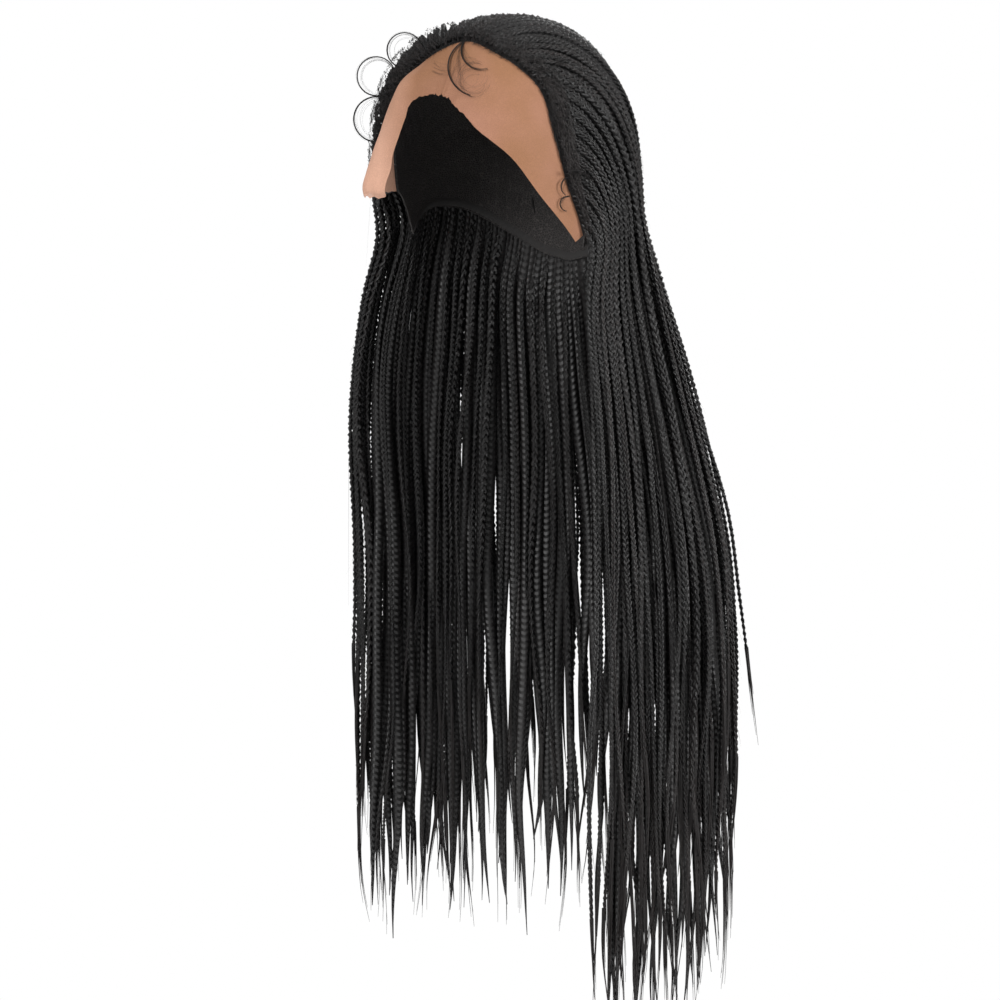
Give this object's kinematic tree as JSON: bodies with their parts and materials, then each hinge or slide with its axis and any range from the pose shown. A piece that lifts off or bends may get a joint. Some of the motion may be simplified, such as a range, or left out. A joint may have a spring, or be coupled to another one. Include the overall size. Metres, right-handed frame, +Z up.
{
  "type": "lace front braid wig",
  "caption": "Long wig of thin plaits knotted to a net cap, with sheer lace at the front hairline and ear tabs, held as it is worn.",
  "frame": {"origin": "where the top of the wearer's head meets the inside of the cap", "axes": "+Z up, the face looks along -Y, +X is the wearer's left, which is the viewer's right"},
  "size_m": [0.3083, 0.2518, 0.7412],
  "materials": {
    "braided_hair": "plaited synthetic hair, satin",
    "cap_net": "soft black net",
    "lace": "sheer brown net"
  },
  "bodies": {
    "root": {"wig_cap": "cap_net", "lace_front": "lace", "crown_braids_near_side": "braided_hair", "crown_braids_near_top": "braided_hair", "crown_braids_middle": "braided_hair", "crown_braids_far_top": "braided_hair", "crown_braids_far_side": "braided_hair", "fall_01": "braided_hair", "fall_02": "braided_hair", "fall_03": "braided_hair", "fall_04": "braided_hair", "fall_05": "braided_hair", "fall_06": "braided_hair", "fall_07": "braided_hair", "fall_08": "braided_hair", "fall_09": "braided_hair", "fall_10": "braided_hair"}
  },
  "joints": []
}
